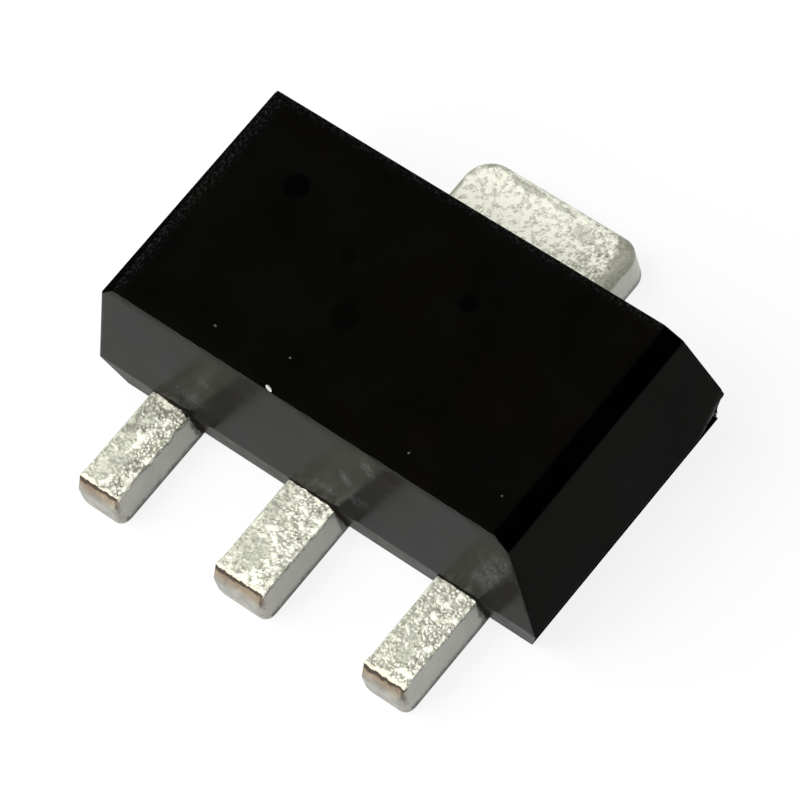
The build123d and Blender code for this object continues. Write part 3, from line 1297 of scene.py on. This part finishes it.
LEADS = (
    Lead(
        "left_lead",
        -1.5,
        0.40,
        TinRelief(
            seams=0.50,
            seam_depth=0.80,
            cloud=0.52,
            worn=(
                WornPatch(-1.58, -1.80, 0.11, 0.22, 0.70),
                WornPatch(-1.61, -1.88, 0.06, 0.13, 0.60),
                WornPatch(-1.56, -1.34, 0.035, 0.05, 1.0),
                WornPatch(-1.57, -1.63, 0.05, 0.12, 0.55),
                WornPatch(-1.47, -1.99, 0.03, 0.02, 1.0),
            ),
        ),
        flash_skew=1.0,
    ),
    Lead(
        "heat_tab_and_centre_lead",
        0.0,
        0.49,
        TinRelief(
            grain=0.031,
            worn=(
                WornPatch(-0.15, -1.45, 0.045, 0.06, 0.9),
                WornPatch(-0.05, -1.75, 0.10, 0.12, 0.8),
                WornPatch(0.209, -1.72, 0.02, 0.02, 1.0),
            ),
        ),
        flash_skew=0.5,
    ),
    Lead(
        "right_lead",
        1.5,
        0.40,
        TinRelief(
            grain=0.030,
            seams=0.55,
            seam_depth=0.74,
            cloud=0.15,
            worn=(
                WornPatch(1.53, -1.79, 0.05, 0.07, 0.9),
                WornPatch(1.487, -1.66, 0.06, 0.05, 0.6),
                WornPatch(1.414, -1.578, 0.02, 0.02, 1.0),
                WornPatch(1.583, -1.258, 0.025, 0.02, 1.0),
            ),
        ),
    ),
)


@dataclass(frozen=True)
class PlatedCopper:
    """Shared ways of dressing a piece of the tinned copper frame."""

    fine_spacing: float = 0.06
    fine_cuts: int = 5
    bury: float = 0.06
    beyond: float = 1.0
    relief_depth: float = 0.055
    level_grain: float = 0.7
    line_height: float = 0.0007
    sole: float = 0.004

    def prime(self, bm: BMesh) -> None:
        """Give the underside and all the other faces their plain finish."""
        bm.normal_update()
        for face in bm.faces:
            face.material_index = LeadFace.UNDER if face.normal.z < -0.9 else LeadFace.SIDE

    def dress(self, bm: BMesh, skin: Skin, low_y: float, high_y: float) -> None:
        """Divide, paint and raise the stretch of a piece that shows.

        Args:
            bm: The piece's mesh.
            skin: What that stretch looks like.
            low_y: Where the stretch begins.
            high_y: Where it ends.
        """
        for place in (low_y, high_y):
            cut_plane(bm, Y_AXIS * place, Y_AXIS)
        bm.normal_update()
        shows = lambda face: low_y < face.calc_center_median().y < high_y and face.normal.z > -0.9
        refine(bm, shows, self.fine_spacing, self.fine_cuts)
        bm.normal_update()
        for field in fields(Coat):
            if field.name not in bm.verts.layers.float:
                bm.verts.layers.float.new(field.name)
        faces = [face for face in bm.faces if shows(face)]
        top = max(vert.co.z for face in faces for vert in face.verts)
        for face in faces:
            face.material_index = self._finish_of(face, skin, top)
        self._grow(bm, skin, {vert for face in faces for vert in face.verts}, top)

    def _finish_of(self, face: BMFace, skin: Skin, top: float) -> LeadFace:
        """The finish of one small face."""
        place = face.calc_center_median()
        if face.normal.z > 0.93 or top - place.z < skin.overflow(place, face.normal):
            return LeadFace.PLATED
        return LeadFace.TIP if face.normal.y < -0.45 else skin.side

    def _grow(self, bm: BMesh, skin: Skin, verts: set[BMVert], top: float) -> None:
        """Keep the skin's look at the vertices and raise its relief."""
        layers = {field.name: bm.verts.layers.float[field.name] for field in fields(Coat)}
        coats = {vert: skin.coat(vert.co.copy()) for vert in verts}
        moves = {}
        for vert, coat in coats.items():
            for name, layer in layers.items():
                vert[layer] = getattr(coat, name)
            point = vert.co
            near_top = smooth_step((point.z - (top - self.relief_depth)) / 0.05)
            swell = (coat.grain - self.level_grain) * skin.relief.height * near_top
            lines = self.line_height * ripple(point.x * 30.0, point.y * 30.0, point.z * 4.0)
            moves[vert] = vert.normal * (swell + lines * (1.0 - near_top))
        for vert, move in moves.items():
            if vert.co.z > self.sole:
                vert.co += move


@dataclass(frozen=True)
class OuterLead(PlatedCopper):
    """An outer lead, whole, with the bonding post that the body hides."""

    lock_step: float = 0.15
    lock_rim: float = 0.17
    post_inset: float = 0.24

    def build(self, lead: Lead) -> Object:
        """Make the lead and dress it."""
        low, high = box_mm(lead.node)
        front = box_mm("moulded_body")[0].y
        post_front = front + self.post_inset
        bar = lead.bar(post_front + self.lock_rim)
        post = block(Vector((low.x, post_front, self.lock_step)), high)
        bm = united([bar, post])
        self.prime(bm)
        self.dress(bm, lead, low.y - self.beyond, front + self.bury)
        return finish_piece(f"{lead.node}_plated", bm, PLATED_FINISHES, lead.node)


@dataclass(frozen=True)
class HeatTab(PlatedCopper):
    """The centre lead, the die pad and the heat tab, which are one piece of copper."""

    tab_width: float = 1.67
    left_corner: float = 0.25
    right_corner: float = 0.175
    edge_roll: float = 0.070
    tab_bury: float = 0.1
    pad_shoulder: float = 0.22
    pad_front_inset: float = 0.85
    pad_back_inset: float = 0.35
    lock_step: float = 0.15
    lock_rim: float = 0.17
    relief: TinRelief = TinRelief(
        grain=0.026,
        height=0.006,
        seams=0.22,
        seam_depth=0.46,
        cloud=0.08,
        hollow=0.22,
        worn=(
            WornPatch(-0.28, 2.040, 0.14, 0.028, 1.0),
            WornPatch(0.10, 2.030, 0.12, 0.020, 0.5),
            WornPatch(0.80, 1.800, 0.05, 0.300, 0.4),
            WornPatch(0.36, 1.930, 0.14, 0.060, 0.3),
        ),
    )

    def build(self, lead: Lead) -> Object:
        """Make the piece and dress it."""
        high = box_mm(lead.node)[1]
        body_low, body_high = box_mm("moulded_body")
        pad_front = body_low.y + self.pad_front_inset
        pad_back = body_high.y - self.pad_back_inset
        far_y = high.y - 0.001
        bm = united(
            [
                self._tab(pad_front + self.lock_rim, far_y, high.z),
                self._rim(pad_front, pad_back, high.z),
                lead.bar(pad_back),
            ]
        )
        self.prime(bm)
        self.dress(bm, lead, lead.tip_y - self.beyond, body_low.y + self.bury)
        skin = TabSkin(self.tab_width / 2, far_y, self.left_corner, self.edge_roll, self.relief)
        self.dress(bm, skin, body_high.y - self.tab_bury, far_y + self.beyond)
        return finish_piece("heat_tab_plated", bm, PLATED_FINISHES, lead.node)

    def _tab(self, front_y: float, far_y: float, top: float) -> BMesh:
        """The exposed pad and tab, with the tab's corners and upper edges rounded."""
        half = self.tab_width / 2
        bm = block(Vector((-half, front_y, 0.0)), Vector((half, far_y, top)))
        for side_x, radius in ((-half, self.left_corner), (half, self.right_corner)):
            round_upright(bm, radius, 8, Vector((side_x, far_y)))
        self._shoulder(bm, front_y)
        rim = front_y + self.pad_shoulder
        round_edges(
            bm, self.edge_roll, 6, lambda edge: middle(edge).z > top - SAME_PLACE and middle(edge).y > rim
        )
        return bm

    def _rim(self, front_y: float, back_y: float, top: float) -> BMesh:
        """The coined rim that locks the pad into the moulding."""
        half = self.tab_width / 2 + self.lock_rim
        bm = block(Vector((-half, front_y, self.lock_step)), Vector((half, back_y, top)))
        self._shoulder(bm, front_y)
        return bm

    def _shoulder(self, bm: BMesh, front_y: float) -> None:
        """Chamfer the two upright corners at the front of a block."""
        half = max(vert.co.x for vert in bm.verts)
        for side_x in (-half, half):
            round_upright(bm, self.pad_shoulder, 1, Vector((side_x, front_y)))


# --- What the body hides ---


@dataclass(frozen=True)
class Inside:
    """The die and its wiring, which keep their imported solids."""

    gold: Hidden = Hidden("bond_gold", tone=(0.83, 0.58, 0.22), metallic=1.0, roughness=0.25)

    def dress(self) -> None:
        """Give each sealed piece its own finish."""
        finishes = {
            "silicon_die": Hidden("silicon", tone=(0.10, 0.11, 0.13), metallic=0.6, roughness=0.2),
            "die_attach": Hidden("attach_solder", tone=(0.45, 0.45, 0.43), metallic=0.8, roughness=0.45),
            "left_bond_wire": self.gold,
            "right_bond_wire": self.gold,
            "ground_bond_wire": self.gold,
        }
        for node, finish in finishes.items():
            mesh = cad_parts[node].data
            mesh.materials.clear()
            mesh.materials.append(finish.material())
            LOG.info("%s: dressed as %s", node, finish.name)


# --- Studio ---


def facing(away: Vector) -> Matrix:
    """The turn of a lamp or a camera that looks back along a direction."""
    return away.to_track_quat("Z", "Y").to_matrix().to_4x4()


@dataclass(frozen=True)
class Viewpoint:
    """Where the camera stands, in degrees and millimetres."""

    azimuth: float = 57.987
    elevation: float = 59.041
    roll: float = -21.640
    distance: float = 42.983
    focal_length: float = 240.56
    sensor_width: float = 36.0
    clip: tuple[float, float] = (0.001, 10.0)
    aim: tuple[float, float, float] = (-0.12217, 0.03683, 0.03172)

    def place(self) -> Matrix:
        """The camera's matrix, in metres."""
        azimuth = math.radians(self.azimuth)
        elevation = math.radians(self.elevation)
        level = math.cos(elevation)
        back = Vector((math.sin(azimuth) * level, -math.cos(azimuth) * level, math.sin(elevation)))
        stand = (Vector(self.aim) + back * self.distance) * MM
        roll = Matrix.Rotation(math.radians(self.roll), 4, "Z")
        return Matrix.Translation(stand) @ facing(back) @ roll


@dataclass(frozen=True)
class Studio:
    """A pale floor, a white surround, one large soft lamp and the camera."""

    viewpoint: Viewpoint = Viewpoint()
    floor_radius: float = 0.4
    floor_whiteness: float = 0.85
    floor_drop: float = 0.002
    paper: Colour = (0.92, 0.92, 0.92)
    ambient: float = 0.48
    lamp_side: float = 0.05
    lamp_distance: float = 0.06
    lamp_power: float = 0.038
    lamp_from: tuple[float, float, float] = (-0.45, -0.38, 0.81)

    def build(self) -> None:
        """Set up the whole studio."""
        self._floor()
        self._surround()
        self._lamp()
        self._camera()
        bpy.context.scene.view_settings.view_transform = "Standard"
        LOG.info("studio: floor, surround, lamp and camera")

    def _shown(self, tree: Tree) -> NodeSocket:
        """1 for what is seen directly, in a reflection or through something clear."""
        path = tree.node("LightPath")
        shown = path.outputs["Is Camera Ray"]
        for name in ("Is Glossy Ray", "Is Transmission Ray"):
            shown = tree.maths("MAXIMUM", shown, path.outputs[name])
        return shown

    def _floor(self) -> None:
        """A wide pale disc that still takes the part's shadow."""
        bm = bmesh.new()
        bmesh.ops.create_circle(bm, cap_ends=True, segments=96, radius=self.floor_radius)
        bmesh.ops.translate(bm, vec=Z_AXIS * -self.floor_drop * MM, verts=bm.verts)
        mesh = bpy.data.meshes.new("studio_floor")
        bm.to_mesh(mesh)
        bm.free()
        material = bpy.data.materials.new("studio_paper")
        material.use_nodes = True
        material.node_tree.nodes.clear()
        tree = Tree(material.node_tree)
        paper = tree.node("BsdfDiffuse", {"Color": self.paper}).outputs["BSDF"]
        white = tree.node("Emission").outputs["Emission"]
        share = tree.maths("MULTIPLY", self._shown(tree), self.floor_whiteness)
        mix = tree.node("MixShader", {"Fac": share, 1: paper, 2: white}).outputs["Shader"]
        tree.node("OutputMaterial", {"Surface": mix})
        mesh.materials.append(material)
        floor = bpy.data.objects.new("studio_floor", mesh)
        bpy.context.scene.collection.objects.link(floor)

    def _surround(self) -> None:
        """A white surround that lights the part only softly."""
        world = bpy.data.worlds.new("studio_surround")
        bpy.context.scene.world = world
        world.use_nodes = True
        tree = Tree(world.node_tree)
        background = world.node_tree.nodes["Background"]
        inputs = {"Value": self._shown(tree), "To Min": self.ambient, "To Max": 1.0}
        tree.feed(background.inputs["Color"], (1.0, 1.0, 1.0))
        tree.feed(background.inputs["Strength"], tree.node("MapRange", inputs).outputs["Result"])

    def _lamp(self) -> None:
        """One large square lamp, above and to the left of the leads."""
        data = bpy.data.lights.new("softbox", "AREA")
        data.shape = "SQUARE"
        data.size = self.lamp_side
        data.energy = self.lamp_power
        lamp = bpy.data.objects.new("softbox", data)
        bpy.context.scene.collection.objects.link(lamp)
        away = Vector(self.lamp_from).normalized()
        lamp.matrix_world = Matrix.Translation(away * self.lamp_distance) @ facing(away)

    def _camera(self) -> None:
        """The camera at the part's portrait angle."""
        data = bpy.data.cameras.new("portrait")
        data.sensor_width = self.viewpoint.sensor_width
        data.lens = self.viewpoint.focal_length
        data.clip_start, data.clip_end = self.viewpoint.clip
        camera = bpy.data.objects.new("portrait", data)
        bpy.context.scene.collection.objects.link(camera)
        camera.matrix_world = self.viewpoint.place()
        bpy.context.scene.camera = camera


def main() -> None:
    """Build every piece in order, then the studio, and note the sizes."""
    logging.basicConfig(level=logging.INFO, format="%(message)s")
    noise.seed_set(NOISE_SEED)
    MouldedBody().build()
    for lead in LEADS:
        if lead.node == "heat_tab_and_centre_lead":
            HeatTab().build(lead)
        else:
            OuterLead().build(lead)
    Inside().dress()
    Studio().build()


if __name__ == "__main__":
    main()
